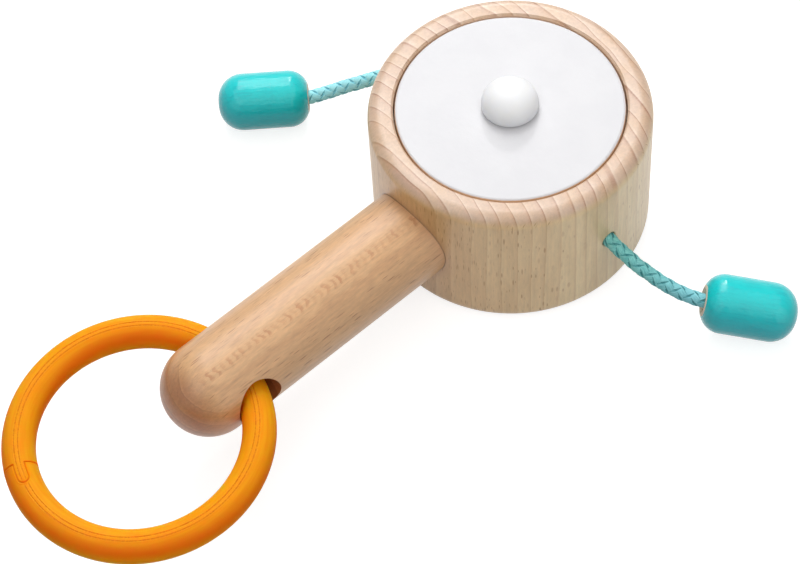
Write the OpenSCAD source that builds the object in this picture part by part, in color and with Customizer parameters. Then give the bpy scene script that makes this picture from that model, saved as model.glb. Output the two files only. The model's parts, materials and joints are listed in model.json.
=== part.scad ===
// Pellet drum rattle: a turned wooden drum on a dowel handle, with a loose sounding plate,
// two beads on a cord that runs through the drum, and a snap ring through the handle.
// Origin: centre of the drum's rear face, on which the rattle lies. +Z runs up through the drum
// and the handle points along -Y. Lengths are in millimetres, turns in degrees.

/* [Drum] */
// Outer diameter of the drum
drum_d = 60; // [54:1:76]
// Height of the drum from its rear face to the rim
drum_h = 35.4; // [34:0.1:46]
// Radius that rounds both outer edges of the drum
drum_edge_r = 2.8; // [1:0.1:4]
// Bevel on the inner edge of the rim
rim_bevel = 0.4; // [0.2:0.1:0.8]
// Width of the ledge that carries the plate
ledge_w = 3.5; // [2:0.5:6]
// Depth of the sound pocket turned below the ledge
pocket_depth = 2; // [1:0.1:3]
// Diameter of the boss left standing in the pocket
boss_d = 14; // [10:0.5:20]
// Gap left for glue round what is pushed into the drum
glue_gap = 0.05; // [0.02:0.01:0.1]

/* [Sounding plate] */
// Diameter of the loose plate
plate_d = 48.5; // [42:0.5:50]
// Thickness of the plate
plate_t = 4; // [3:0.1:4.5]
// Gap all round the plate, inside the rim
plate_gap = 0.35; // [0.2:0.05:0.6]
// Depth of the plate's face below the rim
plate_drop = 0.2; // [0.1:0.05:0.6]
// Radius that rounds the plate's edges
plate_edge_r = 0.6; // [0.3:0.1:1.2]

/* [Knob] */
// Diameter of the knob's head
knob_d = 12.2; // [10:0.1:14]
// Height of the knob's head
knob_h = 5.6; // [4.5:0.1:6]
// Radius that rounds the lower edge of the head
knob_edge_r = 0.4; // [0.2:0.1:0.8]
// Diameter of the knob's shank
shank_d = 6; // [5:0.1:7]
// Length of shank that is glued into the drum
shank_grip = 8; // [6:0.5:11]
// Gap round the shank in the plate's hole
shank_gap = 0.4; // [0.3:0.05:0.8]
// Height by which the plate can rise until it meets the knob
plate_play = 0.4; // [0.3:0.05:0.8]

/* [Handle] */
// Diameter of the dowel
handle_d = 20; // [16:0.5:22]
// Distance from the drum's axis to the round tip
handle_reach = 94.6; // [92:0.1:110]
// Depth of the dowel's socket, from the drum's wall inwards
socket_depth = 16; // [10:0.5:20]
// Radius that rounds the dowel's inner end
dowel_edge_r = 1; // [0.5:0.1:2]

/* [Grip ring] */
// Outer diameter of the ring
ring_od = 56; // [54:0.5:64]
// Diameter of the ring's round section
ring_tube_d = 7; // [6:0.1:7.2]
// Diameter of the cross hole that the ring runs through
ring_bore_d = 11; // [10.8:0.1:13]
// Distance from the axis of the cross hole to the handle's round tip
bore_to_tip = 15.4; // [13:0.1:20]
// Distance by which the ring's section lies behind the hole's axis, towards the drum
ring_back = 1.7; // [1.4:0.1:1.8]
// Distance by which the ring lies off the handle's middle
ring_shift = 1.5; // [0:0.1:1.6]
// Angle by which the ring's far side hangs below level
ring_droop = 3.2; // [0:0.1:8]
// Angle by which the ring rolls to one side
ring_roll = 1.3; // [0:0.1:2]
// Direction of the ring's closure, seen from its centre
seam_turn = 244; // [200:1:340]
// Gap of the closure, between the two ends and round the tongue
seam_gap = 0.15; // [0.1:0.05:0.3]
// Width of the tongue
tongue_w = 2.6; // [2:0.1:3.4]
// Length of the tongue up to its round tip
tongue_len = 3.4; // [2:0.1:6]
// Thickness of the tongue at the ring's crest
tongue_t = 1.8; // [1.2:0.1:2.4]

/* [Cord] */
// Diameter of the plaited cord
cord_d = 3.2; // [2.6:0.1:3.3]
// Diameter of the hole for the cord, in the drum and in the beads
cord_bore_d = 3.5; // [3.4:0.1:4.2]
// Bevel at both mouths of the drum's cord hole
cord_bevel = 0.3; // [0.2:0.1:0.8]

/* [Beads] */
// Diameter of a bead
bead_d = 12.7; // [11:0.1:14]
// Length of a bead
bead_len = 20.3; // [16:0.1:24]
// Radius that rounds the end where the cord enters
bead_near_r = 4.5; // [2.5:0.1:5]
// Radius that rounds the closed end
bead_far_r = 5.5; // [3:0.1:6]
// Depth of the cord's hole in a bead
bead_bore_depth = 6.2; // [6.1:0.1:9]
// Diameter of the bare countersink round the cord
bead_flare_d = 5.8; // [4.8:0.1:6.4]
// Distance from the drum's wall to the right bead's mouth, along X
right_bead_out = 20.6; // [18:0.1:23]
// Distance by which the right bead's mouth lies towards +Y
right_bead_side = 7.3; // [6.5:0.1:8.5]
// Direction in which the right bead points
right_bead_turn = 42.7; // [38:0.1:48]
// Tilt of the right bead, whose closed end rests while the cord holds its mouth up
right_bead_tilt = 12; // [0:0.1:20]
// Distance from the drum's wall to the left bead's mouth, along X
left_bead_out = 19.2; // [18:0.1:22]
// Distance by which the left bead's mouth lies towards -Y
left_bead_side = 15.4; // [14:0.1:17]
// Direction in which the left bead points
left_bead_turn = 231; // [225:0.1:236]

/* [Hidden] */
$fn = 96;
// One overrun serves all cuts
overrun = 1;
// Heights in the drum
middle_z = drum_h / 2;
ledge_z = drum_h - plate_drop - plate_t;
plate_top_z = drum_h - plate_drop;
// Radii
drum_r = drum_d / 2;
rebate_r = plate_d / 2 + plate_gap;
handle_r = handle_d / 2;
bead_r = bead_d / 2;
tube_r = ring_tube_d / 2;
ring_r = ring_od / 2 - tube_r;
// Distance from the drum's axis to the cross hole
ring_bore_at = handle_reach - bore_to_tip;
// The knob's dome is part of a ball that meets the plate's level at the head's full width
dome_r = (pow(knob_d / 2, 2) + knob_h * knob_h) / (2 * knob_h);
// Arcs along the ring's centre line, as turns
seam_deg = seam_gap / ring_r * 180 / PI;
tongue_deg = tongue_len / ring_r * 180 / PI;
// Turn by which the tongue reaches back into the end that carries it
tongue_root_deg = 3;
// The cord's route on each side of the drum, from inside the drum's hole to inside the bead,
// with places measured from the hole's mouth. Counted from 0, point 3 is the hole's mouth
// and point 12 is the bead's.
right_route = [
    [-6, 0, 0], [-4, 0, 0], [-2, 0, 0], [0, 0, 0],
    [2.7, 0, -0.5], [5.3, 0.4, -1.4], [7.6, 0.9, -2.6], [9.9, 1.8, -3.8],
    [12, 2.6, -5], [14.1, 3.6, -6.1], [16.2, 4.7, -7.1], [18.3, 5.9, -7.8],
    [20.6, 7.3, -8.29], [21.97, 8.56, -8.69], [23.4, 9.89, -9.1], [24.84, 11.21, -9.52]
];
left_route = [
    [6, 0, 0], [4, 0, 0], [2, 0, 0], [0, 0, 0],
    [-2.9, -0.8, -0.7], [-5.3, -2.2, -1.9], [-7.5, -3.8, -3.3], [-9.5, -5.6, -4.7],
    [-11.5, -7.4, -6.2], [-13.5, -9.2, -7.6], [-15.4, -11.2, -9], [-17.3, -13.2, -10.3],
    [-19.2, -15.4, -11.35], [-20.4, -17, -11.35], [-21.7, -18.5, -11.35], [-23, -20.1, -11.35]
];
// Sides of the cord's tube, and the route points from one of its rings to the next
cord_sides = 8;
cord_step = 3;
// Length of the cord's route inside the drum's hole
cord_inside = norm(right_route[cord_step] - right_route[0]);

// Helpers

function unit(v) = v / norm(v);

// Direction of a path at point i
function heading(path, i) =
    unit(path[min(i + 1, len(path) - 1)] - path[max(i - 1, 0)]);

// A ring of points round a path at point i; no path here runs straight up
function section(path, i, r, sides) =
    let (t = heading(path, i), u = unit(cross([0, 0, 1], t)), v = cross(t, u))
    [for (k = [0 : sides - 1])
        path[i] + r * (cos(360 * (k + 0.5) / sides) * u + sin(360 * (k + 0.5) / sides) * v)];

// Half of a turned block's outline, with its outer edges rounded; a high_r of r makes a ball end
module turned_profile(r, h, low_r, high_r) {
    intersection() {
        square([r, h]);
        union() {
            translate([0, low_r]) square([r, h - low_r - high_r]);
            square([r - low_r, h / 2]);
            if (high_r < r) translate([0, h / 2]) square([r - high_r, h / 2]);
            translate([r - low_r, low_r]) circle(r = low_r);
            translate([r - high_r, h - high_r]) circle(r = high_r);
        }
    }
}

// Lays a turned piece down along -Y, in line with the handle
module along_handle() {
    translate([0, 0, middle_z]) rotate([90, 0, 0]) children();
}

// One closed tube along a path
module tube_along(path, d, sides) {
    last = len(path) - 1;
    points = [for (i = [0 : last]) each section(path, i, d / 2, sides)];
    faces = [
        [for (k = [0 : sides - 1]) k],
        for (i = [0 : last - 1]) for (k = [0 : sides - 1])
            each let (a = i * sides + k, b = i * sides + (k + 1) % sides)
                [[a, a + sides, b + sides], [a, b + sides, b]],
        [for (k = [sides - 1 : -1 : 0]) last * sides + k]
    ];
    polyhedron(points, faces);
}

// The free stretch of cord on one side, with a ring at every few points of its route
module cord_stretch(side, route) {
    rings = [for (i = [0 : cord_step : len(route) - 1]) route[i]];
    translate([side * drum_r, 0, middle_z]) tube_along(rings, cord_d, cord_sides);
}

// A bead that stands on its mouth: a blind hole with a countersink takes the cord
module bead_shape() {
    flare_r = bead_flare_d / 2;
    bore_r = cord_bore_d / 2;
    rotate_extrude() difference() {
        turned_profile(bead_r, bead_len, bead_near_r, bead_far_r);
        square([bore_r, bead_bore_depth]);
        polygon([[0, 0], [flare_r, 0], [bore_r, flare_r - bore_r], [0, flare_r - bore_r]]);
    }
}

// Height of a bead's mouth when its closed end rests at the level of the drum's rear face
function resting_z(tilt) =
    bead_far_r + (bead_r - bead_far_r) * cos(tilt) + (bead_len - bead_far_r) * sin(tilt);

// A bead that rests with its mouth at x, y, points along the given turn and dips by tilt
module resting_bead(x, y, turn, tilt) {
    color("lightseagreen") translate([x, y, resting_z(tilt)])
        rotate([0, 0, turn]) rotate([0, 90 + tilt, 0]) bead_shape();
}

// Band along the ring's crest for its tongue, wider and deeper by grow
module tongue_band(grow) {
    w = tongue_w + 2 * grow;
    floor_z = tube_r - tongue_t - grow;
    h = tongue_t + grow + overrun;
    rotate([0, 0, -tongue_root_deg]) rotate_extrude(angle = tongue_root_deg + tongue_deg)
        translate([ring_r - w / 2, floor_z]) square([w, h]);
    rotate([0, 0, tongue_deg]) translate([ring_r, 0, floor_z]) cylinder(d = w, h = h);
}

// The closure's cut: a thin radial gap that runs round the tongue
module closure_cut() {
    across = ring_tube_d + 2 * overrun;
    difference() {
        union() {
            rotate_extrude(angle = seam_deg)
                translate([ring_r - across / 2, -across / 2]) square([across, across]);
            intersection() {
                tongue_band(seam_gap);
                rotate_extrude(angle = 90)
                    translate([ring_r - across / 2, -across / 2]) square([across, across]);
            }
        }
        tongue_band(0);
    }
}

// Sub-parts

// Turned drum: a rebate and a sound pocket under the plate, a socket for the handle,
// a hole right through for the cord and one for the knob's shank
module drum_body() {
    pocket_out = rebate_r - ledge_w;
    bore_r = cord_bore_d / 2;
    color("burlywood") difference() {
        rotate_extrude() difference() {
            turned_profile(drum_r, drum_h, drum_edge_r, drum_edge_r);
            translate([0, ledge_z]) square([rebate_r, drum_h - ledge_z + overrun]);
            translate([boss_d / 2, ledge_z - pocket_depth])
                square([pocket_out - boss_d / 2, pocket_depth + overrun]);
            polygon([
                [rebate_r, drum_h - rim_bevel],
                [rebate_r + rim_bevel + overrun, drum_h + overrun],
                [rebate_r, drum_h + overrun]
            ]);
        }
        along_handle() translate([0, 0, drum_r - socket_depth])
            cylinder(r = handle_r + glue_gap, h = socket_depth + overrun);
        translate([0, 0, middle_z]) rotate([0, 90, 0])
            cylinder(d = cord_bore_d, h = drum_d + 2 * overrun, center = true);
        for (turn = [-90, 90])
            translate([0, 0, middle_z]) rotate([0, turn, 0]) translate([0, 0, drum_r - cord_bevel])
                cylinder(r1 = bore_r, r2 = bore_r + cord_bevel + overrun, h = cord_bevel + overrun);
        translate([0, 0, ledge_z - shank_grip])
            cylinder(r = shank_d / 2 + glue_gap, h = shank_grip + overrun);
    }
}

// White plate that lies loose in the rebate and rattles
module drum_plate() {
    color("white") translate([0, 0, ledge_z]) rotate_extrude() difference() {
        turned_profile(plate_d / 2, plate_t, plate_edge_r, plate_edge_r);
        square([shank_d / 2 + shank_gap, plate_t]);
    }
}

// Domed knob whose shank passes through the plate and is glued into the drum
module centre_knob() {
    head_z = plate_top_z + plate_play;
    color("white") {
        translate([0, 0, head_z]) rotate_extrude() union() {
            intersection() {
                translate([0, knob_h - dome_r]) circle(r = dome_r);
                turned_profile(knob_d / 2, knob_h, knob_edge_r, knob_edge_r);
            }
            translate([0, ledge_z - shank_grip - head_z])
                square([shank_d / 2, head_z - ledge_z + shank_grip + knob_h / 2]);
        }
    }
}

// Dowel handle with a round tip and a cross hole for the ring
module handle() {
    inner_end = drum_r - socket_depth;
    color("burlywood") difference() {
        along_handle() translate([0, 0, inner_end]) rotate_extrude()
            turned_profile(handle_r, handle_reach - inner_end, dowel_edge_r, handle_r);
        translate([0, -ring_bore_at, middle_z]) rotate([0, 90, 0])
            cylinder(d = ring_bore_d, h = handle_d + 2 * overrun, center = true);
    }
}

// Snap ring in one piece, closed by a tongue in a slot; it hangs in the handle's cross hole
module grip_ring() {
    color("darkorange") translate([0, -ring_bore_at, middle_z]) rotate([ring_droop, ring_roll, 0])
        translate([-ring_shift, ring_back - ring_r, 0]) rotate([0, 0, seam_turn]) difference() {
            rotate_extrude() translate([ring_r, 0]) circle(r = tube_r);
            closure_cut();
        }
}

// Stretch of cord that the drum holds
module cord_middle() {
    reach = drum_r - cord_inside;
    color("cadetblue")
        tube_along([[-reach, 0, middle_z], [reach, 0, middle_z]], cord_d, cord_sides);
}

module right_cord() {
    color("cadetblue") cord_stretch(1, right_route);
}

module left_cord() {
    color("cadetblue") cord_stretch(-1, left_route);
}

module right_bead() {
    resting_bead(drum_r + right_bead_out, right_bead_side, right_bead_turn, right_bead_tilt);
}

module left_bead() {
    resting_bead(-drum_r - left_bead_out, -left_bead_side, left_bead_turn, 0);
}

drum_body();
drum_plate();
centre_knob();
handle();
grip_ring();
cord_middle();
right_cord();
left_cord();
right_bead();
left_bead();
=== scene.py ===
"""Looks of a pellet drum rattle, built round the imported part. Lengths are in metres."""
import json
import math

import bpy
import numpy as np
from mathutils import Matrix, Vector

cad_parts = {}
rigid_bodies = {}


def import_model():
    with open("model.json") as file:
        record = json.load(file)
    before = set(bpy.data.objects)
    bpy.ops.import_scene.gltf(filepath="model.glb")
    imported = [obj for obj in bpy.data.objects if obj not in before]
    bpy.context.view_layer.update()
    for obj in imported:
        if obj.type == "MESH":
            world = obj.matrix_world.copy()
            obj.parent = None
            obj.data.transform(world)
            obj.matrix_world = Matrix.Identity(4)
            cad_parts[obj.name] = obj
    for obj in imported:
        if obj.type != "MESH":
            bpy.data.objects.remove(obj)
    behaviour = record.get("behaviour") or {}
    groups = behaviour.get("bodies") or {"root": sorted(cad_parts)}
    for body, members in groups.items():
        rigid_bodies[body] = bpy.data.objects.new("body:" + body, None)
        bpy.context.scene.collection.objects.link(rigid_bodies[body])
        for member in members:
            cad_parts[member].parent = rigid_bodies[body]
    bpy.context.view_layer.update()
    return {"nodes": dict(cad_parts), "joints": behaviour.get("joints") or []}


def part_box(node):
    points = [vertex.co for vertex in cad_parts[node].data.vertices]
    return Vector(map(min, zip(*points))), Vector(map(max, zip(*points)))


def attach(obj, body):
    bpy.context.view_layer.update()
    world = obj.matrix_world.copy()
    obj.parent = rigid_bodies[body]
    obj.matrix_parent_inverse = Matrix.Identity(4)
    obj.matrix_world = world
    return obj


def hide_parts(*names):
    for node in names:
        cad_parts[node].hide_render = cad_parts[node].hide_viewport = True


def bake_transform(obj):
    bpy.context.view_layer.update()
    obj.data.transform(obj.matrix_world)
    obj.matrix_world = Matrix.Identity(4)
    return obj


for leftover in list(bpy.data.objects):
    bpy.data.objects.remove(leftover)
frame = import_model()

MM = 0.001

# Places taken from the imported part
_, drum_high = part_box("drum_body")
_, plate_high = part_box("drum_plate")
_, left_bead_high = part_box("left_bead")
knob_low, knob_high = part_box("centre_knob")
handle_low, handle_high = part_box("handle")
DRUM_R = drum_high.x
MIDDLE_Z = drum_high.z / 2
HANDLE_R = (handle_high.x - handle_low.x) / 2
BEAD_R = left_bead_high.z / 2
# Upright wood of the drum that lies within this distance of its axis is the recess's wall, which is painted
# paler as painted light
RECESS_R = plate_high.x + 1 * MM
joint_named = {joint["name"]: joint for joint in frame["joints"]}
RING_PIVOT = Vector(joint_named["ring_swing"]["pos_m"])

# Camera, fitted to the photograph
CAMERA_AT = Vector((0.26067, -0.24260, 0.49799))
CAMERA_AIM = Vector((-0.00165, -0.03148, 0))
CAMERA_ROLL_DEG = -4.058
CAMERA_LENS = 125.31
SENSOR_WIDTH = 36
NEAREST_SEEN = 0.01
FARTHEST_SEEN = 20

# Cord: its diameter and its route on each side, measured from the mouth of the drum's hole.
# Counted from 0, point 3 is that mouth and point 12 is the bead's mouth.
CORD_D = 0.0032
BEAD_MOUTH = 12
RIGHT_ROUTE = [
    (-0.006, 0, 0), (-0.004, 0, 0), (-0.002, 0, 0), (0, 0, 0),
    (0.0027, 0, -0.0005), (0.0053, 0.0004, -0.0014), (0.0076, 0.0009, -0.0026), (0.0099, 0.0018, -0.0038),
    (0.012, 0.0026, -0.005), (0.0141, 0.0036, -0.0061), (0.0162, 0.0047, -0.0071),
    (0.0183, 0.0059, -0.0078), (0.0206, 0.0073, -0.00829), (0.02197, 0.00856, -0.00869),
    (0.0234, 0.00989, -0.0091), (0.02484, 0.01121, -0.00952),
]
LEFT_ROUTE = [
    (0.006, 0, 0), (0.004, 0, 0), (0.002, 0, 0), (0, 0, 0),
    (-0.0029, -0.0008, -0.0007), (-0.0053, -0.0022, -0.0019), (-0.0075, -0.0038, -0.0033),
    (-0.0095, -0.0056, -0.0047), (-0.0115, -0.0074, -0.0062), (-0.0135, -0.0092, -0.0076),
    (-0.0154, -0.0112, -0.009), (-0.0173, -0.0132, -0.0103), (-0.0192, -0.0154, -0.01135),
    (-0.0204, -0.017, -0.01135), (-0.0217, -0.0185, -0.01135), (-0.023, -0.0201, -0.01135),
]

# Plait of the cord: strands wound each way, lead of one turn, and size of a flat strand
STRANDS_EACH_WAY = 4
PLAIT_LEAD = 0.0126
STRAND_HALF_WIDTH = 0.00082
STRAND_HALF_THICK = 0.00036
STRAND_LIFT = 0.00018
STRAND_SIDES = 20
STRAND_STEP = 0.00016
CORE_R = 0.0008
# A strand is three yarns wide and dips between them, and it lies flat between its crossings
YARNS_PER_STRAND = 3
YARN_DIP = 0.20
STRAND_FLATNESS = 1.6
# Steps of the smooth curve between two route points, and how the held path thins them
ROUTE_STEPS = 24
HELD_STRAND_STEP = 4 * STRAND_STEP
# Turn of the plait that brings a row of its crossings to the top
PLAIT_START_DEG = 22.5

# Beads: the turned profile and the way each one points
BEAD_LEN = 0.0203
BEAD_NEAR_R = 0.0045
BEAD_FAR_R = 0.0055
BEAD_BORE_R = 0.00175
BEAD_BORE_DEPTH = 0.0062
BEAD_FLARE_R = 0.0029
# The countersink bends at this share of its depth and width, and its edge is broken by the lip
BEAD_THROAT_BEND = (0.5, 0.47)
BEAD_LIP = 0.1 * MM
# Points along the mouth's round, the straight part and the closed end's round
BEAD_NEAR_STEPS = 26
BEAD_STRAIGHT_STEPS = 16
BEAD_FAR_STEPS = 30
BEAD_SIDES = 112
# Share by which the beads slim down towards their ends
BEAD_BARREL = 0.012
RIGHT_BEAD_TURN_DEG = 42.7
RIGHT_BEAD_TILT_DEG = 12
LEFT_BEAD_TURN_DEG = 231

# Knob: its head's height, its shank and the shape of its dome
KNOB_H = 0.0056
KNOB_EDGE_R = 0.0006
KNOB_FULLNESS = 2.1
KNOB_SIDES = 96
KNOB_EDGE_STEPS = 12
KNOB_DOME_STEPS = 48
# Narrow faces beside the knob's sharp corners keep them sharp when shaded
KNOB_STEP = 0.00004
SHANK_R = 0.003

# Grip ring: its section, its place in the cross hole and its closure
RING_R = 0.0245
RING_TUBE_R = 0.0035
RING_BACK = 0.0017
RING_SHIFT = 0.0015
RING_DROOP_DEG = 3.2
RING_ROLL_DEG = 1.3
SEAM_TURN_DEG = 244
TONGUE_HALF_WIDTH = 0.00122
TONGUE_LEN = 0.0034
# The parting line of the mould is a pair of fine grooves on the crest, this far off its middle
PARTING_HALF = 0.00042
# Relief of the ring's skin: depth and width of the closure's line, of the parting grooves,
# and of the raised lips beside them
SEAM_DEPTH = 0.32 * MM
SEAM_WIDTH = 0.12 * MM
SEAM_LIP_AWAY = 0.30 * MM
PARTING_DEPTH = 0.09 * MM
PARTING_WIDTH = 0.09 * MM
PARTING_LIP_SHARE = 1.45
LIP_RISE = 0.05 * MM
LIP_WIDTH = 0.10 * MM
# The parting grooves fade out this near to the closure, and wander by two waves: size and length
PARTING_FADE = 0.7 * MM
PARTING_WAVES = [(0.05 * MM, 1.9 * MM), (0.03 * MM, 0.7 * MM)]
# Steps of the ring's grid: over fine relief, beside it, along the ring and round its section
RING_FINE_STEP = 0.06 * MM
RING_NEXT_STEP = 0.25 * MM
RING_LONG_STEP = 0.55 * MM
RING_ROUND_STEP = 0.36 * MM
# Stretches of the grid along the ring and across its crest and its back that hold fine relief
CLOSURE_BEFORE = 1.5 * MM
CLOSURE_AFTER = 5.6 * MM
CLOSURE_PAST = 8 * MM
CREST_HALF = 1.8 * MM
BACK_HALF = 0.4 * MM

# Growth rings of the drum's wood curve round a point beyond its near side
DRUM_PITH_TURN_DEG = 85.3
DRUM_PITH_AWAY = 0.1042
# The handle's layers face up, turned a little to the right
HANDLE_LAYER_TILT_DEG = 19
HANDLE_PITH_AWAY = 0.07


# Camera

def make_camera():
    data = bpy.data.cameras.new("camera")
    data.lens = CAMERA_LENS
    data.sensor_width = SENSOR_WIDTH
    data.clip_start = NEAREST_SEEN
    data.clip_end = FARTHEST_SEEN
    camera = bpy.data.objects.new("camera", data)
    bpy.context.scene.collection.objects.link(camera)
    look = (CAMERA_AIM - CAMERA_AT).to_track_quat("-Z", "Y").to_matrix().to_4x4()
    roll = Matrix.Rotation(math.radians(CAMERA_ROLL_DEG), 4, "Z")
    camera.matrix_world = Matrix.Translation(CAMERA_AT) @ look @ roll
    bpy.context.scene.camera = camera


# Meshes

def new_object(name, points, faces, smooth=True):
    mesh = bpy.data.meshes.new(name)
    mesh.from_pydata([tuple(p) for p in points], [], [tuple(f) for f in faces])
    mesh.validate()
    mesh.polygons.foreach_set("use_smooth", [smooth] * len(mesh.polygons))
    mesh.update()
    obj = bpy.data.objects.new(name, mesh)
    bpy.context.scene.collection.objects.link(obj)
    return obj


def store_vectors(obj, name, values):
    """Keeps one vector for each point, for the material to read."""
    layer = obj.data.attributes.new(name, "FLOAT_VECTOR", "POINT")
    layer.data.foreach_set("vector", np.asarray(values, np.float32).ravel())


def grid_faces(rows, columns, first=0):
    """Quads of a grid whose columns close round; row by row, from point first on."""
    faces = []
    for row in range(rows - 1):
        for column in range(columns):
            after = (column + 1) % columns
            a = first + row * columns
            b = a + columns
            faces.append((a + column, a + after, b + after, b + column))
    return faces


def smooth_route(route, step):
    """Evenly spaced points on a smooth curve through the route's points."""
    points = np.asarray(route, float)
    padded = np.vstack([2 * points[0] - points[1], points, 2 * points[-1] - points[-2]])
    fine = []
    shares = np.linspace(0, 1, ROUTE_STEPS, endpoint=False)[:, None]
    for i in range(len(points) - 1):
        a, b, c, d = padded[i:i + 4]
        fine.append(0.5 * (
            2 * b + (c - a) * shares + (2 * a - 5 * b + 4 * c - d) * shares ** 2
            + (3 * b - a - 3 * c + d) * shares ** 3
        ))
    fine = np.vstack(fine + [points[-1:]])
    run = np.concatenate([[0], np.cumsum(np.linalg.norm(np.diff(fine, axis=0), axis=1))])
    count = int(round(run[-1] / step)) + 1
    at = np.linspace(0, run[-1], count)
    return np.stack([np.interp(at, run, fine[:, k]) for k in range(3)], axis=1), at


def carried_frames(path):
    """Heading and two side vectors at each point, carried along without twist."""
    heading = np.gradient(path, axis=0)
    heading /= np.linalg.norm(heading, axis=1)[:, None]
    side = np.cross(heading[0], (0, 0, 1))
    sides = []
    for direction in heading:
        side = side - np.dot(side, direction) * direction
        side /= np.linalg.norm(side)
        sides.append(side)
    sides = np.array(sides)
    return heading, sides, np.cross(heading, sides)


def strand_section():
    """Outline of a flat strand of three yarns, as shares across and through."""
    around = np.linspace(0, 2 * math.pi, STRAND_SIDES, endpoint=False)
    across = np.cos(around)
    yarns = 1 - YARN_DIP + YARN_DIP * np.abs(np.cos(YARNS_PER_STRAND / 2 * math.pi * across))
    return across, np.sin(around) * yarns


def plaited_cord(name, route, step=STRAND_STEP):
    """A round plait along a route, with a core, as one mesh; returns it and its centre line."""
    path, at = smooth_route(route, step)
    heading, side, lift = carried_frames(path)
    points, faces, yarn = [], [], []
    across, through = strand_section()
    middle_r = CORD_D / 2 - STRAND_LIFT - STRAND_HALF_THICK
    for strand in range(2 * STRANDS_EACH_WAY):
        hand = 1 if strand < STRANDS_EACH_WAY else -1
        start = 2 * math.pi * (strand % STRANDS_EACH_WAY) / STRANDS_EACH_WAY
        wound = start + hand * 2 * math.pi * at / PLAIT_LEAD
        wave = hand * np.cos(STRANDS_EACH_WAY * wound)
        turn = wound + math.radians(PLAIT_START_DEG)
        radius = middle_r + STRAND_LIFT * np.tanh(STRAND_FLATNESS * wave) / math.tanh(STRAND_FLATNESS)
        outward = np.cos(turn)[:, None] * side + np.sin(turn)[:, None] * lift
        centre = path + radius[:, None] * outward
        along = np.gradient(centre, axis=0)
        along /= np.linalg.norm(along, axis=1)[:, None]
        wide = np.cross(outward, along)
        wide /= np.linalg.norm(wide, axis=1)[:, None]
        up = np.cross(along, wide)
        ring = (
            centre[:, None, :]
            + (STRAND_HALF_WIDTH * across)[None, :, None] * wide[:, None, :]
            + (STRAND_HALF_THICK * through)[None, :, None] * up[:, None, :]
        )
        first = len(points) * len(across)
        points.extend(ring)
        rows = len(path)
        faces += grid_faces(rows, STRAND_SIDES, first)
        faces.append(tuple(range(first + STRAND_SIDES - 1, first - 1, -1)))
        faces.append(tuple(range(first + (rows - 1) * STRAND_SIDES, first + rows * STRAND_SIDES)))
        for distance in at:
            for share in across:
                yarn.append((distance / MM, share, strand))
    around = np.linspace(0, 2 * math.pi, STRAND_SIDES, endpoint=False)
    first = len(points) * STRAND_SIDES
    core = (
        path[:, None, :]
        + CORE_R * np.cos(around)[None, :, None] * side[:, None, :]
        + CORE_R * np.sin(around)[None, :, None] * lift[:, None, :]
    )
    points.extend(core)
    faces += grid_faces(len(path), STRAND_SIDES, first)
    faces.append(tuple(range(first + STRAND_SIDES - 1, first - 1, -1)))
    faces.append(tuple(range(first + (len(path) - 1) * STRAND_SIDES, first + len(path) * STRAND_SIDES)))
    for distance in at:
        yarn += [(distance / MM, 0, -1)] * STRAND_SIDES
    obj = new_object(name, np.concatenate(points), faces)
    store_vectors(obj, "yarn", yarn)
    return obj, path


def free_cord(name, side, route):
    """The free stretch of cord on one side, which bends between the drum and its bead."""
    mouth = Vector((side * DRUM_R, 0, MIDDLE_Z))
    placed = [mouth + Vector(p) for p in route]
    obj, path = plaited_cord(name + "_plaited", placed)
    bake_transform(obj)
    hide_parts(name)
    return obj


def held_cord():
    """The stretch of cord inside the drum."""
    reach = DRUM_R - LEFT_ROUTE[0][0]
    ends = [(-reach, 0, MIDDLE_Z), (0, 0, MIDDLE_Z), (reach, 0, MIDDLE_Z)]
    obj, _ = plaited_cord("cord_inside_drum", ends, HELD_STRAND_STEP)
    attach(obj, "drum")
    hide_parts("cord_middle")
    return obj


def arc(centre_a, centre_r, radius, from_deg, to_deg, count):
    """Points of a profile's round corner, as distance along the axis and radius."""
    turns = np.radians(np.linspace(from_deg, to_deg, count))
    return [(centre_a - radius * math.cos(t), centre_r + radius * math.sin(t)) for t in turns]


def bead_profile():
    """From the bottom of the bore, out over the mouth and along to the closed end."""
    mouth_deg = math.degrees(math.asin((BEAD_FLARE_R - BEAD_LIP - BEAD_R + BEAD_NEAR_R) / BEAD_NEAR_R))
    profile = [(BEAD_BORE_DEPTH, BEAD_BORE_R * share) for share in (0.5, 1)]
    throat = BEAD_FLARE_R - BEAD_BORE_R
    bend_in, bend_out = BEAD_THROAT_BEND
    profile += [(throat + 2 * MM, BEAD_BORE_R), (throat, BEAD_BORE_R)]
    profile += [(throat * bend_in, BEAD_BORE_R + throat * bend_out)]
    profile += arc(BEAD_NEAR_R, BEAD_R - BEAD_NEAR_R, BEAD_NEAR_R, mouth_deg, 90, BEAD_NEAR_STEPS)
    straight = np.linspace(BEAD_NEAR_R, BEAD_LEN - BEAD_FAR_R, BEAD_STRAIGHT_STEPS)[1:-1]
    profile += [(a, BEAD_R) for a in straight]
    far = arc(BEAD_FAR_R, BEAD_R - BEAD_FAR_R, BEAD_FAR_R, 90, 0, BEAD_FAR_STEPS)
    profile += [(BEAD_LEN - a, r) for a, r in far]
    profile.append((BEAD_LEN, (BEAD_R - BEAD_FAR_R) / 2))
    return profile


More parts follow.
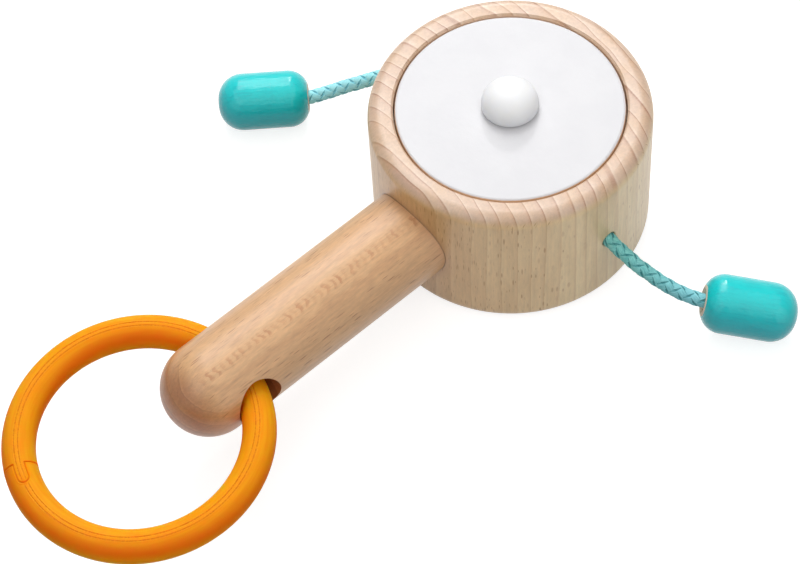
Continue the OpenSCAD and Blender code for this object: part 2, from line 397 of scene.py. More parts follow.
def turned_bead(name, pellet, mouth, turn_deg, tilt_deg):
    """A lacquered bead with its mouth at a place, pointing along its turn and dipping by its tilt."""
    profile = bead_profile()
    around = np.linspace(0, 2 * math.pi, BEAD_SIDES, endpoint=False)
    place = Matrix.Translation(mouth) @ Matrix.Rotation(math.radians(turn_deg), 4, "Z")
    place = place @ Matrix.Rotation(math.radians(tilt_deg), 4, "Y")
    own = []
    for a, r in profile:
        slim = 1 - BEAD_BARREL * ((a / BEAD_LEN - 0.5) * 2) ** 4
        own += [(a, r * slim * math.cos(t), r * slim * math.sin(t)) for t in around]
    faces = grid_faces(len(profile), BEAD_SIDES)
    bore_end = len(own)
    closed_end = bore_end + 1
    own += [(BEAD_BORE_DEPTH, 0, 0), (BEAD_LEN, 0, 0)]
    last = (len(profile) - 1) * BEAD_SIDES
    for k in range(BEAD_SIDES):
        after = (k + 1) % BEAD_SIDES
        faces.append((bore_end, after, k))
        faces.append((closed_end, last + k, last + after))
    obj = new_object(name + "_turned", [place @ Vector(p) for p in own], faces)
    store_vectors(obj, "bead_place", np.array(own) / MM)
    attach(obj, pellet)
    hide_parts(name)
    return obj


def turned_knob():
    """The knob with its shank: a full dome whose lower edge is rounded back."""
    underside = knob_high.z - KNOB_H
    edge = underside + KNOB_EDGE_R
    profile = [(0, knob_low.z), (SHANK_R - KNOB_STEP, knob_low.z), (SHANK_R, knob_low.z + KNOB_STEP)]
    profile += [(SHANK_R, underside - KNOB_STEP), (SHANK_R + KNOB_STEP, underside)]
    flat_end = knob_high.x - KNOB_EDGE_R
    profile += [(flat_end - KNOB_STEP, underside)]
    for t in np.radians(np.linspace(0, 90, KNOB_EDGE_STEPS)):
        profile.append((flat_end + KNOB_EDGE_R * math.sin(t), edge - KNOB_EDGE_R * math.cos(t)))
    for t in np.radians(np.linspace(0, 90, KNOB_DOME_STEPS))[1:]:
        out = knob_high.x * math.cos(t) ** (2 / KNOB_FULLNESS)
        profile.append((out, edge + (knob_high.z - edge) * math.sin(t) ** (2 / KNOB_FULLNESS)))
    around = np.linspace(0, 2 * math.pi, KNOB_SIDES, endpoint=False)
    points = [(r * math.cos(t), r * math.sin(t), z) for r, z in profile for t in around]
    obj = new_object("turned_knob", points, grid_faces(len(profile), KNOB_SIDES))
    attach(obj, "drum")
    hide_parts("centre_knob")
    return obj


def spread_steps(stops):
    """Joins stretches given as (end, step) into one list of places, starting at the first end."""
    places = [stops[0][0]]
    for end, step in stops[1:]:
        count = max(1, int(round((end - places[-1]) / step)))
        places += list(np.linspace(places[-1], end, count + 1)[1:])
    return np.array(places)


def closure_distance(along, across):
    """Distance on the ring's skin to the closure line, which runs round the tongue."""
    out = np.abs(across)
    corner = np.hypot(along, out - TONGUE_HALF_WIDTH)
    seam = np.where(out >= TONGUE_HALF_WIDTH, np.abs(along), corner)
    flank = np.abs(out - TONGUE_HALF_WIDTH)
    tip = np.abs(np.hypot(along - TONGUE_LEN, across) - TONGUE_HALF_WIDTH)
    tongue = np.where(along < 0, corner, np.where(along <= TONGUE_LEN, flank, tip))
    return np.minimum(seam, tongue)


def bell(distance, width):
    return np.exp(-(distance / width) ** 2)


def snap_ring():
    """The ring's skin as one closed grid, with its closure and its parting line in relief."""
    girth = 2 * math.pi * RING_TUBE_R
    length = 2 * math.pi * RING_R
    along_line = spread_steps([
        (-CLOSURE_BEFORE, 0), (CLOSURE_AFTER, RING_FINE_STEP), (CLOSURE_PAST, RING_NEXT_STEP),
        (length - 2 * CLOSURE_BEFORE, RING_LONG_STEP), (length - CLOSURE_BEFORE, RING_NEXT_STEP),
    ])[:-1]
    across_line = spread_steps([
        (-CREST_HALF, 0), (CREST_HALF, RING_FINE_STEP), (girth / 2 - BACK_HALF, RING_ROUND_STEP),
        (girth / 2 + BACK_HALF, RING_FINE_STEP), (girth - CREST_HALF, RING_ROUND_STEP),
    ])[:-1]
    along, across = np.meshgrid(along_line, across_line, indexing="ij")
    across_signed = (across + girth / 2) % girth - girth / 2
    along_signed = (along + length / 2) % length - length / 2
    distance = closure_distance(along_signed, across_signed)
    relief = -SEAM_DEPTH * bell(distance, SEAM_WIDTH)
    relief += LIP_RISE * bell(distance - SEAM_LIP_AWAY, LIP_WIDTH)
    wander = sum(size * np.sin(along_signed / wave) for size, wave in PARTING_WAVES)
    clear = 1 - bell(distance, PARTING_FADE)
    on_back = np.abs(across % girth - girth / 2)
    for off in (across_signed + wander, on_back + wander):
        for edge in (-PARTING_HALF, PARTING_HALF):
            relief -= PARTING_DEPTH * clear * bell(off - edge, PARTING_WIDTH)
            relief += LIP_RISE * clear * bell(off - PARTING_LIP_SHARE * edge, LIP_WIDTH)
    turn = along / RING_R
    tilt = math.pi / 2 - across / RING_TUBE_R
    section_r = RING_TUBE_R + relief
    reach = RING_R + section_r * np.cos(tilt)
    points = np.stack([reach * np.cos(turn), reach * np.sin(turn), section_r * np.sin(tilt)], -1)
    rows, columns = along.shape
    flat = points.reshape(-1, 3)
    faces = grid_faces(rows, columns)
    last = (rows - 1) * columns
    for column in range(columns):
        after = (column + 1) % columns
        faces.append((last + column, last + after, after, column))
    tipped = Matrix.Rotation(math.radians(RING_ROLL_DEG), 4, "Y")
    tipped = tipped @ Matrix.Rotation(math.radians(RING_DROOP_DEG), 4, "X")
    place = (
        Matrix.Translation(RING_PIVOT) @ tipped
        @ Matrix.Translation((-RING_SHIFT, RING_BACK - RING_R, 0))
        @ Matrix.Rotation(math.radians(SEAM_TURN_DEG), 4, "Z")
    )
    obj = new_object("snap_ring", [place @ Vector(p) for p in flat], faces)
    marks = np.stack([along_signed / MM, across_signed / MM, distance / MM], -1).reshape(-1, 3)
    store_vectors(obj, "ring_place", marks)
    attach(obj, "ring")
    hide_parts("grip_ring")
    return obj


# Materials

# Beech: how its layers and dashes are laid out, in millimetres, and its tones
DRUM_WOOD = {
    "pith_away": DRUM_PITH_AWAY, "spacing": 2.9, "shift": 0.0, "drift": 2.2, "ripple": 0.10,
    "side_layers": 0.48, "line": 1.0, "sapwood": 0.8, "carries_dowel": True, "arrows": 0.0, "fine": 0.20,
    "dash_apart": 0.38, "dash_run": 3.8, "dash_share": 0.46, "dash": 0.90, "dash_at_crown": 1.0,
    "pale": (0.700, 0.440, 0.195), "early": (0.900, 0.710, 0.415), "late": (0.580, 0.340, 0.140),
    "dark": (0.560, 0.335, 0.145), "ray": (0.390, 0.175, 0.050), "arrow": (0.590, 0.355, 0.160),
    "end": (0.635, 0.455, 0.330), "end_late": (0.460, 0.250, 0.155), "end_dark": (0.310, 0.135, 0.075),
    "end_early": (0.780, 0.630, 0.500), "recess_painted_light": (0.960, 0.800, 0.640),
    "joint_shade": (0.420, 0.200, 0.110), "joint": (0.240, 0.120, 0.060),
}
HANDLE_WOOD = {
    "pith_away": HANDLE_PITH_AWAY, "spacing": 2.6, "shift": 0.40, "drift": 0.5, "ripple": 0.45,
    "side_layers": 0.40, "line": 0.60, "sapwood": 0.0, "carries_dowel": False, "arrows": 1.0, "fine": 0.32,
    "dash_apart": 0.38, "dash_run": 5.0, "dash_share": 0.48, "dash": 1.0, "dash_at_crown": 0.20,
    "pale": (0.640, 0.362, 0.162), "early": (0.700, 0.425, 0.210), "late": (0.510, 0.262, 0.104),
    "dark": (0.440, 0.200, 0.075), "ray": (0.330, 0.130, 0.035), "arrow": (0.450, 0.175, 0.050),
    # The end tones are darkened beyond the end grain's own tone, as painted shade on the handle's tip
    "end": (0.340, 0.122, 0.030), "end_late": (0.270, 0.092, 0.020), "end_dark": (0.230, 0.085, 0.026),
    "end_early": (0.480, 0.230, 0.085),
    "joint_shade": (0.560, 0.300, 0.145), "joint": (0.240, 0.120, 0.060),
}
WOOD_GLOSS = {"Specular_IOR_Level": 0.75, "Coat_Weight": 0.30, "Coat_Roughness": 0.34}

# White lacquer: darker and lighter tone of the plate and of the knob, its dust, and bare wood.
# The knob's tones are far lighter than the plate's, as painted light on the knob.
PLATE_TONES = ((0.675, 0.670, 0.690), (0.700, 0.695, 0.712))
KNOB_LIT_TONES = ((0.950, 0.945, 0.935), (0.965, 0.960, 0.955))
DUST_TONE = (0.80, 0.795, 0.80)
EDGE_TONE = (0.62, 0.38, 0.22)

# Turquoise lacquer: darker low on the bead and lighter on its top, which is painted shade, with darker
# clouds, streaks and hairs of grain
BEAD_TONES = {
    "low": (0.001, 0.460, 0.520), "high": (0.003, 0.660, 0.665), "cloud": (0.001, 0.480, 0.530),
    "streak": (0.001, 0.330, 0.400), "hair": (0.001, 0.280, 0.340), "bare": (0.72, 0.61, 0.49),
}
BARE_R = 0.0034

# Orange plastic: yellower on the faces than on the walls, which is painted shade.
# The direction is that of the faces, and lies between straight up and the lamps.
RING_TONES = {
    "face": (0.97, 0.335, 0.004), "pale_lit_face": (0.99, 0.400, 0.007), "wall": (0.95, 0.205, 0.002),
    # The groove tone is painted shade in the parting grooves and also the closure's dark line; the lip tone
    # is a painted highlight
    "rough_band": (0.86, 0.190, 0.002), "lip_highlight": (1.0, 0.500, 0.040), "groove": (0.66, 0.120, 0.001),
}
RING_LIT_DIRECTION = (-0.30, 0.50, 0.81)

# Plait: the right cord and the one in the drum, and the paler left one; the three darkest tones are painted
# shade in its gaps
TEAL_TONES = {
    "deep": (0.120, 0.500, 0.480), "light": (0.340, 0.820, 0.780), "far": (0.280, 0.660, 0.840),
    "pale": (0.420, 0.820, 0.860), "yarn_gap_shade": (0.060, 0.360, 0.390), "edge": (0.030, 0.240, 0.270),
    "core": (0.012, 0.090, 0.105),
}
SKY_TONES = {
    "deep": (0.320, 0.860, 0.950), "light": (0.540, 0.970, 0.990), "far": (0.380, 0.880, 0.970),
    "pale": (0.560, 0.950, 0.990), "yarn_gap_shade": (0.180, 0.620, 0.740), "edge": (0.100, 0.440, 0.560),
    "core": (0.030, 0.160, 0.200),
}


class Graph:
    """A material's node tree, filled by short calls; an input is a socket or a plain value."""

    def __init__(self, name):
        self.material = bpy.data.materials.new(name)
        self.material.use_nodes = True
        self.tree = self.material.node_tree
        self.tree.nodes.clear()

    def node(self, kind, settings=None, **inputs):
        made = self.tree.nodes.new("ShaderNode" + kind)
        for key, value in (settings or {}).items():
            setattr(made, key, value)
        for key, value in inputs.items():
            self.put(made.inputs[key.replace("_", " ")], value)
        return made

    def put(self, socket, value):
        if isinstance(value, bpy.types.NodeSocket):
            self.tree.links.new(value, socket)
        else:
            socket.default_value = value

    def math(self, operation, *values):
        made = self.node("Math", {"operation": operation})
        for socket, value in zip(made.inputs, values):
            self.put(socket, value)
        return made.outputs[0]

    def add(self, first, *others):
        for other in others:
            first = self.math("ADD", first, other)
        return first

    def times(self, first, *others):
        for other in others:
            first = self.math("MULTIPLY", first, other)
        return first

    def length_of(self, a, b):
        return self.math("SQRT", self.add(self.times(a, a), self.times(b, b)))

    def parts(self, vector):
        return self.node("SeparateXYZ", Vector=vector).outputs[:]

    def place_mm(self):
        """Place on the object in millimetres, with the height from the floor as Z."""
        return self.stretch(self.node("TexCoord").outputs["Object"], (1 / MM, 1 / MM, 1 / MM))

    def facing(self):
        """Direction in which the skin faces, on the object."""
        return self.node("TexCoord").outputs["Normal"]

    def off_zero(self, value):
        return self.math("ABSOLUTE", value)

    def size_of_dot(self, vector, direction):
        made = self.vector("DOT_PRODUCT", vector, tuple(direction))
        return self.off_zero(made.outputs["Value"])

    def vector(self, operation, a, b=None):
        made = self.node("VectorMath", {"operation": operation})
        self.put(made.inputs[0], a)
        if b is not None:
            self.put(made.inputs[1], b)
        return made

    def stretch(self, vector, scale):
        return self.vector("MULTIPLY", vector, scale).outputs[0]

    def noise(self, vector, scale=1.0, detail=2.0, roughness=0.5):
        made = self.node("TexNoise", Vector=vector, Scale=scale, Detail=detail, Roughness=roughness)
        return made.outputs["Fac"]

    def centred(self, fac, amount):
        """A noise value moved to run from about -amount to amount."""
        return self.math("MULTIPLY", self.math("SUBTRACT", fac, 0.5), 2 * amount)

    def range(self, value, low, high, to_low=0.0, to_high=1.0):
        made = self.node("MapRange", {"interpolation_type": "SMOOTHSTEP"})
        for socket, given in zip(made.inputs, (value, low, high, to_low, to_high)):
            self.put(socket, given)
        return made.outputs[0]

    def mix(self, share, a, b, blend="MIX"):
        made = self.node("MixRGB", {"blend_type": blend})
        self.put(made.inputs[0], share)
        self.put(made.inputs[1], colour(a))
        self.put(made.inputs[2], colour(b))
        return made.outputs[0]

    def curve(self, fac, stops):
        """A ramp of grey values."""
        made = self.node("ValToRGB")
        self.put(made.inputs[0], fac)
        line = made.color_ramp.elements
        while len(line) > 1:
            line.remove(line[0])
        line[0].position = stops[0][0]
        line[0].color = (stops[0][1],) * 3 + (1,)
        for place, value in stops[1:]:
            element = line.new(place)
            element.color = (value,) * 3 + (1,)
        return made.outputs[0]

    def bump(self, height, strength, distance, after=None):
        made = self.node("Bump", Strength=strength, Distance=distance, Height=height)
        if after is not None:
            self.put(made.inputs["Normal"], after)
        return made.outputs[0]

    def finish(self, base, roughness, normal, **uniform):
        shader = self.node("BsdfPrincipled")
        self.put(shader.inputs["Base Color"], base)
        self.put(shader.inputs["Roughness"], roughness)
        self.put(shader.inputs["Normal"], normal)
        for key, value in uniform.items():
            shader.inputs[key.replace("_", " ")].default_value = value
        out = self.node("OutputMaterial")
        self.tree.links.new(shader.outputs[0], out.inputs[0])
        return self.material


def colour(value):
    return (*value, 1) if isinstance(value, tuple) and len(value) == 3 else value


def beech(name, turn, wood):
    """Beech whose grain runs along the turned Z axis and whose layers face the turned X axis."""
    g = Graph(name)
    place = g.node("TexCoord").outputs["Object"]
    own = g.stretch(g.vector("SUBTRACT", place, (0, 0, MIDDLE_Z)).outputs[0], (1 / MM, 1 / MM, 1 / MM))
    inside = g.node("Mapping", Vector=own, Rotation=turn.to_euler()).outputs[0]
    along_x, along_y, along_z = g.parts(inside)

    # Which way the skin cuts the wood: flat on to the layers, or across the grain
    face = g.facing()
    flat_on = g.size_of_dot(face, turn.transposed() @ Vector((1, 0, 0)))
    end_on = g.range(g.size_of_dot(face, turn.transposed() @ Vector((0, 0, 1))), 0.20, 0.80)

    # Growth layers: each darkens slowly and ends in a sharp line
    drift = g.centred(g.noise(g.stretch(inside, (0.05, 0.05, 0.012))), wood["drift"])
    ripple = g.centred(g.noise(g.stretch(inside, (0.30, 0.30, 0.27)), detail=3.0), wood["ripple"])
    depth = g.add(g.length_of(g.add(along_x, wood["pith_away"] / MM), along_y), drift, ripple)
    uneven = g.node("TexNoise", {"noise_dimensions": "1D"}, W=g.times(depth, 0.22), Scale=1.0)
    layers = g.add(g.times(depth, 1 / wood["spacing"]), g.centred(uneven.outputs["Fac"], 0.5), wood["shift"])
    share = g.math("FRACT", layers)
    number = g.node("TexWhiteNoise", {"noise_dimensions": "1D"}, W=g.math("FLOOR", layers))
    depth_of_tone = g.range(number.outputs["Value"], 0.0, 1.0, 0.55, 1.0)
    late = g.curve(share, [(0.0, 0.0), (0.35, 0.12), (0.70, 0.42), (0.90, 0.80), (0.965, 1.0), (1.0, 0.0)])
    line = g.curve(share, [(0.0, 0.15), (0.03, 0.0), (0.84, 0.0), (0.94, 1.0), (1.0, 0.45)])
    early = g.curve(share, [(0.0, 0.0), (0.03, 1.0), (0.12, 0.5), (0.22, 0.0), (1.0, 0.0)])
    strength = g.range(end_on, 0.0, 1.0, wood["side_layers"], 1.0)
    late = g.times(late, depth_of_tone, strength)
    line = g.times(line, depth_of_tone, strength, wood["line"])
    early = g.times(early, g.range(end_on, 0.0, 1.0, wood["side_layers"], 0.9), 0.5)

    # Pores and fibres along the grain, and slow clouds of tone
    fibre = g.noise(g.stretch(inside, (1.0, 1.0, 0.05)), detail=4.0, roughness=0.6)
    fine = g.noise(g.stretch(inside, (2.0, 2.0, 0.35)), detail=3.0, roughness=0.7)
    clouds = g.noise(g.stretch(inside, (0.16, 0.16, 0.05)), detail=3.0)
    flecks = g.range(g.noise(g.stretch(inside, (0.9, 6.0, 0.0)), detail=2.0), 0.52, 0.70)
    flecks = g.times(flecks, end_on)

    # Rays, which show as dark dashes where the skin lies flat on to the layers
    place_flat = g.node("CombineXYZ", X=g.times(along_y, 1 / wood["dash_apart"]),
                        Y=g.times(along_z, 1 / wood["dash_run"])).outputs[0]
    cells = g.node("TexVoronoi", {"feature": "F1", "voronoi_dimensions": "2D"},
                   Vector=place_flat, Scale=1.0)
    lot, size, weight = g.parts(cells.outputs["Color"])
    reach = g.range(size, 0.0, 1.0, 0.15, 0.38)
    dashes = g.math("GREATER_THAN", lot, 1 - wood["dash_share"])
    dashes = g.times(dashes, g.range(cells.outputs["Distance"], g.times(reach, 0.35), reach, 1.0, 0.0))
    dashes = g.times(dashes, g.range(weight, 0.0, 1.0, 0.25, 1.0), g.range(flat_on, 0.10, 0.45, 0.15, 1.0))
    dashes = g.times(dashes, g.range(flat_on, 0.86, 1.0, 1.0, wood["dash_at_crown"]))
    dashes = g.times(dashes, g.range(end_on, 0.2, 0.9, 1.0, 0.0))

    # Where the skin just touches a layer, it shows as a row of arrowhead patches
    warp = g.centred(g.noise(g.stretch(inside, (0.0, 0.6, 0.25)), detail=3.0), 0.8)
    arrows = g.add(g.times(along_z, 0.58), g.times(g.off_zero(along_y), 0.13), warp,
                   g.centred(fine, 0.18))
    clusters = g.range(g.noise(g.stretch(inside, (0.0, 0.0, 0.14)), detail=1.0), 0.36, 0.60, 0.55, 1.0)
    arrow_lot = g.node("TexWhiteNoise", {"noise_dimensions": "1D"}, W=g.math("FLOOR", arrows))
    patches = g.curve(g.math("FRACT", arrows), [(0.0, 0.0), (0.1, 1.0), (0.4, 0.8), (0.6, 0.0), (1.0, 0.0)])
    patches = g.times(patches, clusters, g.range(arrow_lot.outputs["Value"], 0.15, 1.0, 0.30, 1.0))
    edge_of_row = g.add(g.off_zero(g.add(along_y, g.centred(clouds, 1.6))), g.centred(fine, 1.0))
    patches = g.times(patches, g.range(edge_of_row, 0.5, 1.6, 1.0, 0.0))
    patches = g.times(patches, g.math("GREATER_THAN", along_x, 0.0))
    patches = g.times(patches, g.range(end_on, 0.1, 0.4, 1.0, 0.0), wood["arrows"])

    paler = g.range(g.parts(own)[0], 4.0, 34.0, 0.0, wood["sapwood"])
    ground = g.mix(end_on, g.mix(paler, wood["pale"], wood["early"]), wood["end"])
    ground = g.mix(early, ground, g.mix(end_on, wood["early"], wood["end_early"]))
    tone = g.mix(late, ground, g.mix(end_on, wood["late"], wood["end_late"]))
    tone = g.mix(line, tone, g.mix(end_on, wood["dark"], wood["end_dark"]))
    tone = g.mix(g.times(g.range(clouds, 0.35, 0.72), 0.35), tone, wood["late"])
    tone = g.mix(patches, tone, wood["arrow"])
    shade = g.add(g.range(fibre, 0.25, 0.75, 0.93, 1.05), g.centred(fine, wood["fine"]))
    tone = g.mix(1.0, tone, g.node("CombineColor", Red=shade, Green=shade, Blue=shade).outputs[0], "MULTIPLY")
    tone = g.mix(g.times(flecks, 0.30), tone, wood["end"])
    tone = g.mix(g.times(dashes, wood["dash"]), tone, wood["ray"])

    # A dark line where the dowel is let into the drum, and painted shade that fades out beside it
    from_axis = g.length_of(*g.parts(own)[:2])
    off_drum = g.off_zero(g.add(from_axis, -DRUM_R / MM))
    off_dowel = g.add(g.length_of(g.parts(own)[0], g.parts(own)[2]), -HANDLE_R / MM)
    if wood["carries_dowel"]:
        off_joint = g.add(off_dowel, g.times(g.math("GREATER_THAN", g.parts(own)[1], 0.0), 100))
        # The recess's upright wall is painted paler, painted light that lifts the shade in the recess
        upright = g.off_zero(g.parts(face)[2])
        recess_painted_light = g.times(g.math("LESS_THAN", from_axis, RECESS_R / MM), g.range(upright, 0.2, 0.6, 1.0, 0.0))
        tone = g.mix(recess_painted_light, tone, wood["recess_painted_light"])
    else:
        off_joint = off_drum
    # Painted shade around where the handle meets the drum
    tone = g.mix(g.range(off_joint, 0.0, 2.6, 0.30, 0.0), tone, wood["joint_shade"])
    tone = g.mix(g.range(off_joint, 0.08, 0.24, 0.65, 0.0), tone, wood["joint"])

    rough = g.range(fibre, 0.2, 0.8, 0.47, 0.38)
    height = g.add(g.times(fibre, 0.6), g.times(fine, 0.6), g.times(dashes, -0.4), g.times(line, -0.3))
    normal = g.bump(height, 0.40, 0.00008)
    return g.finish(tone, rough, normal, **WOOD_GLOSS)


def white_lacquer(name, tones, bare_edge, depth):
    """Sprayed white, with faint orange peel; a disc's cut edge can be left as bare wood."""
    g = Graph(name)
    place = g.place_mm()
    peel = g.noise(place, 0.9, 3.0, 0.55)
    clouds = g.noise(place, 0.11, 3.0, 0.6)
    dust = g.range(g.noise(place, 3.2, 2.0, 0.5), 0.66, 0.78)
    tone = g.mix(g.range(clouds, 0.3, 0.7), *tones)
    tone = g.mix(g.times(dust, 0.25), tone, DUST_TONE)
    rough = g.range(peel, 0.2, 0.8, 0.34, 0.42)
    if bare_edge:
        upright = g.off_zero(g.parts(g.facing())[2])
        ragged = g.add(upright, g.centred(peel, 0.12))
        tone = g.mix(g.range(ragged, 0.45, 0.75, 1.0, 0.0), tone, EDGE_TONE)
    normal = g.bump(peel, 0.22, 0.00010, g.bump(dust, 0.15, 0.00004))
    return g.finish(tone, rough, normal, Specular_IOR_Level=0.45, Subsurface_Weight=depth,
                    Subsurface_Scale=0.006, Subsurface_Radius=(1.0, 0.95, 0.85))


def turquoise_lacquer():
    """Thin gloss over wood whose grain still shows, with a bare ring round the cord's hole."""
    g = Graph("turquoise_lacquer")
    place = g.node("Attribute", {"attribute_name": "bead_place"}).outputs["Vector"]
    along, side, lift = g.parts(place)
    ragged = g.centred(g.noise(place, 1.7, 2.0), 0.16)
    bare = g.times(g.math("LESS_THAN", g.add(g.length_of(side, lift), ragged), BARE_R / MM),
                   g.math("LESS_THAN", along, BEAD_LEN / MM / 2))
    streaks = g.noise(g.stretch(place, (0.14, 1.3, 1.3)), detail=4.0, roughness=0.6)
    hairs = g.noise(g.stretch(place, (0.40, 3.4, 3.4)), detail=3.0, roughness=0.6)
    clouds = g.noise(place, 0.22, 2.0)
    # Painted shade: from a darker tone low on the bead to a lighter one on its top
    lacquer = g.mix(g.range(lift, 1.0, 6.5), BEAD_TONES["low"], BEAD_TONES["high"])
    lacquer = g.mix(g.range(clouds, 0.3, 0.7, 0.0, 0.25), lacquer, BEAD_TONES["cloud"])
    worn = g.range(clouds, 0.35, 0.60, 0.15, 1.0)
    lacquer = g.mix(g.times(g.range(streaks, 0.46, 0.72, 0.0, 0.38), worn), lacquer, BEAD_TONES["streak"])
    lacquer = g.mix(g.times(g.range(hairs, 0.56, 0.75, 0.0, 0.30), worn), lacquer, BEAD_TONES["hair"])
    tone = g.mix(bare, lacquer, BEAD_TONES["bare"])
    rough = g.mix(bare, g.range(streaks, 0.3, 0.7, 0.07, 0.15), (0.6, 0.6, 0.6))
    waves = g.bump(g.noise(place, 0.8, 2.0), 0.30, 0.0003)
    normal = g.bump(g.add(streaks, g.times(hairs, 0.4)), 0.30, 0.00018, waves)
    return g.finish(tone, rough, normal, Specular_IOR_Level=0.35)


def orange_plastic():
    """Moulded plastic, redder on its walls than on its two faces as painted shade, rough between its grooves.
    """
    g = Graph("orange_plastic")
    marks = g.node("Attribute", {"attribute_name": "ring_place"}).outputs["Vector"]
    _, across, closure = g.parts(marks)
    place = g.place_mm()
    flow = g.noise(g.stretch(marks, (0.10, 1.6, 0.0)), detail=3.0)
    grainy = g.noise(place, 2.6, 3.0, 0.6)
    off_parting = g.off_zero(g.add(g.off_zero(across), -PARTING_HALF / MM))
    # Painted shade darkens the parting grooves, over their relief
    groove = g.range(off_parting, 0.04, 0.18, 0.60, 0.0)
    groove_worn = g.times(g.range(grainy, 0.30, 0.60, 0.25, 1.0), g.range(closure, 0.3, 0.9))
    groove = g.times(groove, groove_worn)
    band = g.range(g.off_zero(across), 0.3, 1.3, 1.0, 0.0)
    seam = g.range(closure, 0.03, 0.24, 0.45, 0.0)
    # Painted shade: how squarely the skin faces the fixed direction picks the yellower or the redder tone
    flat_on = g.size_of_dot(g.facing(), RING_LIT_DIRECTION)
    tone = g.mix(g.range(flow, 0.3, 0.7), RING_TONES["face"], RING_TONES["pale_lit_face"])
    tone = g.mix(g.range(flat_on, 0.0, 0.75), RING_TONES["wall"], tone)
    rough_band = g.times(band, g.range(grainy, 0.42, 0.62, 0.0, 0.35))
    tone = g.mix(rough_band, tone, RING_TONES["rough_band"])
    # Painted highlight on the raised lips beside the parting grooves
    painted_lip_highlights = g.times(g.range(g.off_zero(g.add(off_parting, -0.28)), 0.0, 0.14, 0.40, 0.0), groove_worn)
    tone = g.mix(painted_lip_highlights, tone, RING_TONES["lip_highlight"])
    # Painted shade in the parting grooves, and the dark line of the closure
    tone = g.mix(g.math("MAXIMUM", groove, seam), tone, RING_TONES["groove"])
    rough = g.range(grainy, 0.2, 0.8, 0.45, 0.58)
    relief = g.add(g.times(grainy, 0.5), g.times(band, grainy))
    normal = g.bump(relief, 0.22, 0.00010, g.bump(flow, 0.10, 0.0002))
    return g.finish(tone, rough, normal, Specular_IOR_Level=0.05, Subsurface_Weight=1.0,
                    Subsurface_Scale=0.0025, Subsurface_Radius=(1.0, 0.12, 0.02))


def cord_braid(name, tones):
    """Soft plaited yarns: fibres along each strand, painted shade in the gaps and on the core, bluer towards
    the beads.
    """
    g = Graph(name)
    yarn = g.node("Attribute", {"attribute_name": "yarn"}).outputs["Vector"]
    place = g.place_mm()
    along, across, strand = g.parts(yarn)
    off_middle = g.off_zero(across)
    fibres = g.noise(g.stretch(yarn, (1.1, 7.0, 3.7)), detail=3.0, roughness=0.6)
    clouds = g.noise(place, 0.35, 3.0)
    yarn_gap_shade = g.off_zero(g.math("COSINE", g.times(across, YARNS_PER_STRAND / 2 * math.pi)))
    tone = g.mix(g.range(fibres, 0.30, 0.72), tones["deep"], tones["light"])
    tone = g.mix(g.range(along, 10, 32, 0.0, 0.55), tone, tones["far"])
    tone = g.mix(g.range(clouds, 0.45, 0.75, 0.0, 0.30), tone, tones["pale"])
    # Painted shade between the yarns, at the strands' edges and on the core that shows in the gaps
    tone = g.mix(g.range(yarn_gap_shade, 0.0, 0.30, 0.25, 0.0), tone, tones["yarn_gap_shade"])
    tone = g.mix(g.range(off_middle, 0.74, 0.97, 0.0, 0.80), tone, tones["edge"])
    tone = g.mix(g.math("LESS_THAN", strand, -0.5), tone, tones["core"])
    normal = g.bump(fibres, 0.5, 0.00012)
    return g.finish(tone, g.range(fibres, 0.2, 0.8, 0.80, 0.60), normal, Specular_IOR_Level=0.25,
                    Sheen_Weight=0.15, Sheen_Roughness=0.4, Sheen_Tint=(0.80, 0.97, 1.0, 1))


def dress(obj, material):
    slots = obj.data.materials
    slots.clear()
    slots.append(material)


# Light, floor and background

WORLD_LIGHT = 0.08
LIT_MIDDLE = (0, -0.03, 0.02)
# Soft boxes: name, place, size and power
SOFT_BOXES = [
    ("overhead", (0.05, -0.05, 0.90), (1.50, 1.50), 7.0),
    ("left", (-0.41, 0.26, 0.57), (0.40, 0.60), 2.8),
    ("window", (-0.45, 0.46, 0.44), (0.07, 0.06), 1.00),
    ("right", (0.74, 0.05, 0.34), (0.70, 0.70), 1.2),
    ("front", (0.05, -0.66, 0.52), (0.70, 0.70), 0.80),
]
# How white the floor is shown by itself: this much within the radius, so that it keeps the
# shadow, and fully white from three times the radius on
FLOOR_SHOWN = 0.78
FLOOR_SHADE_R = 0.18
# The floor's own tone, half its side and how far it lies under the rattle, so that it hides no skin
FLOOR_TONE = (0.45, 0.45, 0.45, 1)
FLOOR_HALF = 2.0
FLOOR_DROP = 0.02 * MM


def area_light(name, at, size, power):
    data = bpy.data.lights.new(name, "AREA")
    data.shape = "RECTANGLE"
    data.size, data.size_y = size
    data.energy = power
    lamp = bpy.data.objects.new(name, data)
    bpy.context.scene.collection.objects.link(lamp)
    look = (Vector(LIT_MIDDLE) - Vector(at)).to_track_quat("-Z", "Y").to_matrix().to_4x4()
    lamp.matrix_world = Matrix.Translation(at) @ look


def seen_directly(tree):
    """1 for rays that show the background: from the camera, in gloss and through glass."""
    path = tree.nodes.new("ShaderNodeLightPath")
    made = None
    for ray in ("Is Camera Ray", "Is Glossy Ray", "Is Transmission Ray"):
        if made is None:
            made = path.outputs[ray]
            continue
        larger = tree.nodes.new("ShaderNodeMath")
        larger.operation = "MAXIMUM"
        tree.links.new(made, larger.inputs[0])
        tree.links.new(path.outputs[ray], larger.inputs[1])
        made = larger.outputs[0]
    return made


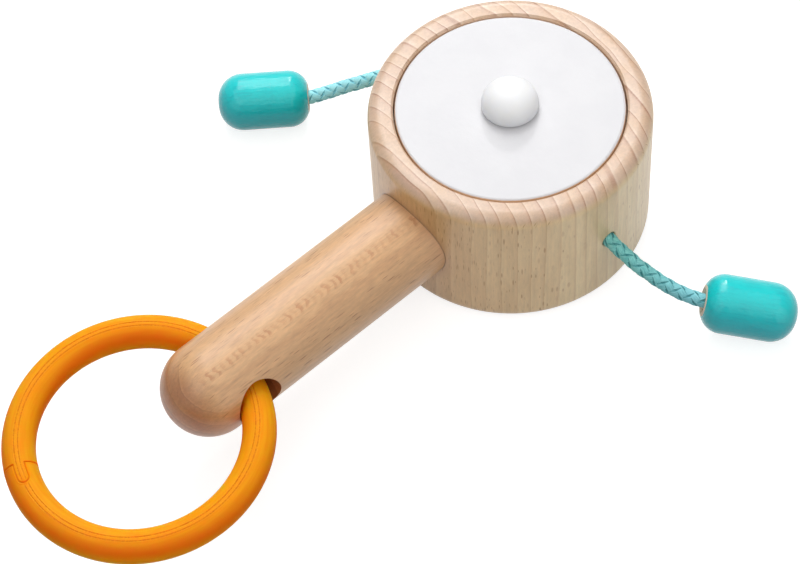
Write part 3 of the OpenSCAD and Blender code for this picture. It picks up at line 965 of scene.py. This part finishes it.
def studio():
    scene = bpy.context.scene
    scene.view_settings.view_transform = "Standard"
    world = bpy.data.worlds.new("studio")
    scene.world = world
    world.use_nodes = True
    tree = world.node_tree
    tree.nodes.clear()
    shown = tree.nodes.new("ShaderNodeBackground")
    lit = tree.nodes.new("ShaderNodeBackground")
    shown.inputs[0].default_value = (1, 1, 1, 1)
    lit.inputs[0].default_value = (1, 1, 1, 1)
    shown.inputs[1].default_value = 1
    lit.inputs[1].default_value = WORLD_LIGHT
    mix = tree.nodes.new("ShaderNodeMixShader")
    out = tree.nodes.new("ShaderNodeOutputWorld")
    tree.links.new(seen_directly(tree), mix.inputs[0])
    tree.links.new(lit.outputs[0], mix.inputs[1])
    tree.links.new(shown.outputs[0], mix.inputs[2])
    tree.links.new(mix.outputs[0], out.inputs[0])
    for name, at, size, power in SOFT_BOXES:
        area_light(name, at, size, power)


def pale_floor():
    """A white floor that shows the object's shadow near it, and pure white farther off."""
    half = FLOOR_HALF
    floor = new_object("floor", [(-half, -half, 0), (half, -half, 0), (half, half, 0), (-half, half, 0)],
                       [(0, 1, 2, 3)], smooth=False)
    floor.location.z = -FLOOR_DROP
    g = Graph("floor_white")
    dull = g.node("BsdfDiffuse", Color=FLOOR_TONE, Roughness=0.0)
    glow = g.node("Emission", Color=(1, 1, 1, 1))
    away = g.vector("LENGTH", g.node("TexCoord").outputs["Object"]).outputs["Value"]
    shown = g.range(away, FLOOR_SHADE_R, 3 * FLOOR_SHADE_R, FLOOR_SHOWN, 1.0)
    g.put(glow.inputs["Strength"], g.times(seen_directly(g.tree), shown))
    both = g.node("AddShader")
    g.tree.links.new(dull.outputs[0], both.inputs[0])
    g.tree.links.new(glow.outputs[0], both.inputs[1])
    out = g.node("OutputMaterial")
    g.tree.links.new(both.outputs[0], out.inputs[0])
    dress(floor, g.material)


# Assembly

make_camera()
right_mouth = Vector((DRUM_R, 0, MIDDLE_Z)) + Vector(RIGHT_ROUTE[BEAD_MOUTH])
left_mouth = Vector((-DRUM_R, 0, MIDDLE_Z)) + Vector(LEFT_ROUTE[BEAD_MOUTH])
right_bead = turned_bead(
    "right_bead", "right_pellet", right_mouth, RIGHT_BEAD_TURN_DEG, RIGHT_BEAD_TILT_DEG)
left_bead = turned_bead("left_bead", "left_pellet", left_mouth, LEFT_BEAD_TURN_DEG, 0)
teal_cord = cord_braid("teal_braid", TEAL_TONES)
dress(free_cord("right_cord", 1, RIGHT_ROUTE), teal_cord)
dress(free_cord("left_cord", -1, LEFT_ROUTE), cord_braid("sky_braid", SKY_TONES))
dress(held_cord(), teal_cord)
bead_material = turquoise_lacquer()
dress(right_bead, bead_material)
dress(left_bead, bead_material)
dress(snap_ring(), orange_plastic())

# Turns from a piece's own axes to those of its wood
drum_turn = Matrix.Rotation(math.radians(-DRUM_PITH_TURN_DEG), 3, "Z")
tilt = math.radians(HANDLE_LAYER_TILT_DEG)
handle_turn = Matrix((
    (math.sin(tilt), 0, math.cos(tilt)),
    (math.cos(tilt), 0, -math.sin(tilt)),
    (0, 1, 0),
))
nodes = frame["nodes"]
dress(nodes["drum_body"], beech("drum_beech", drum_turn, DRUM_WOOD))
dress(nodes["handle"], beech("handle_beech", handle_turn, HANDLE_WOOD))
dress(nodes["drum_plate"], white_lacquer("plate_lacquer", PLATE_TONES, True, 0.0))
# The knob's lacquer is a lighter copy of the plate's, painted light
dress(turned_knob(), white_lacquer("knob_lacquer", KNOB_LIT_TONES, False, 1.0))
studio()
pale_floor()
